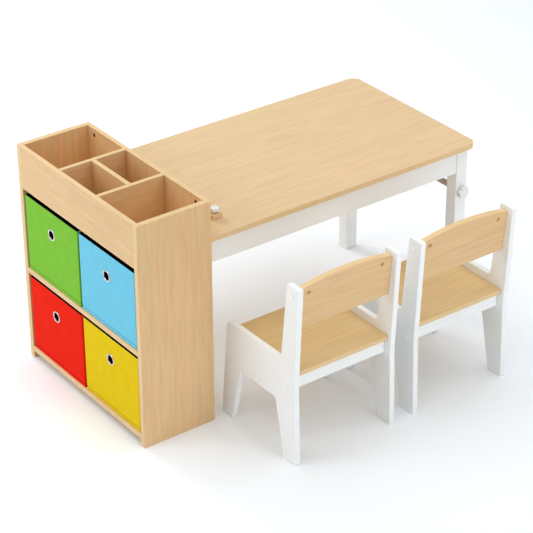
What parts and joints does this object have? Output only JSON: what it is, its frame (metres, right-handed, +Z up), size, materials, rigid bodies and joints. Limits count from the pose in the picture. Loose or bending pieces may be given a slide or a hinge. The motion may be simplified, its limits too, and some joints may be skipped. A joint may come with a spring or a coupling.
{
  "type": "kids table and chairs",
  "caption": "Children's art table with a bin and tray cabinet at one end, a paper-roll rod and clamp bar, and small wooden chairs.",
  "frame": {"origin": "on the floor, under the middle of the whole set's bounding box with the chairs where the picture has them", "axes": "+X along the table from the cabinet to the open end, +Y from the chairs' side to the far side, +Z up"},
  "size_m": [1.0506, 0.8152, 0.61],
  "materials": {
    "maple": "satin maple-grain laminate",
    "white_paint": "satin white paint on board",
    "dowel": "plain sanded beech dowel",
    "fabric_green": "matt non-woven fabric",
    "fabric_blue": "matt non-woven fabric",
    "fabric_red": "matt non-woven fabric",
    "fabric_yellow": "matt non-woven fabric",
    "grommet_metal": "polished pressed steel",
    "white_plastic": "moulded white plastic",
    "zinc_steel": "zinc-plated",
    "bolt_head_white": "white enamelled flat head"
  },
  "bodies": {
    "station": {"cabinet_side_front": "maple", "cabinet_side_rear": "maple", "cabinet_back_panel": "maple", "bottom_shelf": "maple", "middle_shelf": "maple", "tray_fascia": "maple", "tray_floor": "maple", "tray_divider_front": "maple", "tray_divider_rear": "maple", "tray_divider_middle": "maple", "tabletop": "maple", "front_apron": "white_paint", "rear_apron": "white_paint", "end_apron": "white_paint", "front_leg": "white_paint", "rear_leg": "white_paint", "clamp_bolt_front": "zinc_steel", "clamp_bolt_rear": "zinc_steel"},
    "bin_green": {"bin_green": "fabric_green", "bin_green_grommet": "grommet_metal"},
    "bin_blue": {"bin_blue": "fabric_blue", "bin_blue_grommet": "grommet_metal"},
    "bin_red": {"bin_red": "fabric_red", "bin_red_grommet": "grommet_metal"},
    "bin_yellow": {"bin_yellow": "fabric_yellow", "bin_yellow_grommet": "grommet_metal"},
    "paper_rod": {"paper_rod": "dowel", "rod_knob_front": "white_plastic", "rod_knob_rear": "white_plastic"},
    "clamp_bar": {"clamp_bar": "maple"},
    "clamp_knob_front": {"clamp_knob_front": "white_plastic"},
    "clamp_knob_rear": {"clamp_knob_rear": "white_plastic"},
    "chair_1": {"chair_1_side_left": "white_paint", "chair_1_bolt_back_left": "bolt_head_white", "chair_1_bolt_rear_left": "bolt_head_white", "chair_1_bolt_front_left": "bolt_head_white", "chair_1_nut_left": "zinc_steel", "chair_1_side_right": "white_paint", "chair_1_bolt_back_right": "bolt_head_white", "chair_1_bolt_rear_right": "bolt_head_white", "chair_1_bolt_front_right": "bolt_head_white", "chair_1_nut_right": "zinc_steel", "chair_1_seat": "maple", "chair_1_rail_rear": "white_paint", "chair_1_rail_front": "white_paint", "chair_1_backrest": "maple"},
    "chair_2": {"chair_2_side_left": "white_paint", "chair_2_bolt_back_left": "bolt_head_white", "chair_2_bolt_rear_left": "bolt_head_white", "chair_2_bolt_front_left": "bolt_head_white", "chair_2_nut_left": "zinc_steel", "chair_2_side_right": "white_paint", "chair_2_bolt_back_right": "bolt_head_white", "chair_2_bolt_rear_right": "bolt_head_white", "chair_2_bolt_front_right": "bolt_head_white", "chair_2_nut_right": "zinc_steel", "chair_2_seat": "maple", "chair_2_rail_rear": "white_paint", "chair_2_rail_front": "white_paint", "chair_2_backrest": "maple"}
  },
  "joints": [
    {"name": "bin_green_slide", "type": "slide", "parent": "station", "child": "bin_green", "axis": [-1, 0, 0], "range_m": [0, 0.16]},
    {"name": "bin_blue_slide", "type": "slide", "parent": "station", "child": "bin_blue", "axis": [-1, 0, 0], "range_m": [0, 0.16]},
    {"name": "bin_red_slide", "type": "slide", "parent": "station", "child": "bin_red", "axis": [-1, 0, 0], "range_m": [0, 0.16]},
    {"name": "bin_yellow_slide", "type": "slide", "parent": "station", "child": "bin_yellow", "axis": [-1, 0, 0], "range_m": [0, 0.16]},
    {"name": "paper_rod_spin", "type": "hinge", "parent": "station", "child": "paper_rod", "pos_m": [0.49025, 0.14785, 0.3685], "axis": [0, 1, 0], "continuous": true},
    {"name": "clamp_bar_lift", "type": "slide", "parent": "station", "child": "clamp_bar", "axis": [0, 0, 1], "range_m": [0, 0.005]},
    {"name": "clamp_knob_front_turn", "type": "hinge", "parent": "clamp_bar", "child": "clamp_knob_front", "pos_m": [-0.24375, -0.0294, 0.524], "axis": [0, 0, 1], "range_deg": [0, 1800]},
    {"name": "clamp_knob_rear_turn", "type": "hinge", "parent": "clamp_bar", "child": "clamp_knob_rear", "pos_m": [-0.24375, 0.3146, 0.524], "axis": [0, 0, 1], "range_deg": [0, 1800]},
    {"name": "chair_1_slide", "type": "slide", "parent": "station", "child": "chair_1", "axis": [0, 1, 0], "range_m": [-0.25, 0.255]},
    {"name": "chair_2_slide", "type": "slide", "parent": "station", "child": "chair_2", "axis": [0, 1, 0], "range_m": [-0.25, 0.255]}
  ],
  "couplings": [
    {"joint": "clamp_knob_front_turn", "follows": "clamp_bar_lift", "rad_per_m": 6283.2},
    {"joint": "clamp_knob_rear_turn", "follows": "clamp_bar_lift", "rad_per_m": 6283.2}
  ]
}
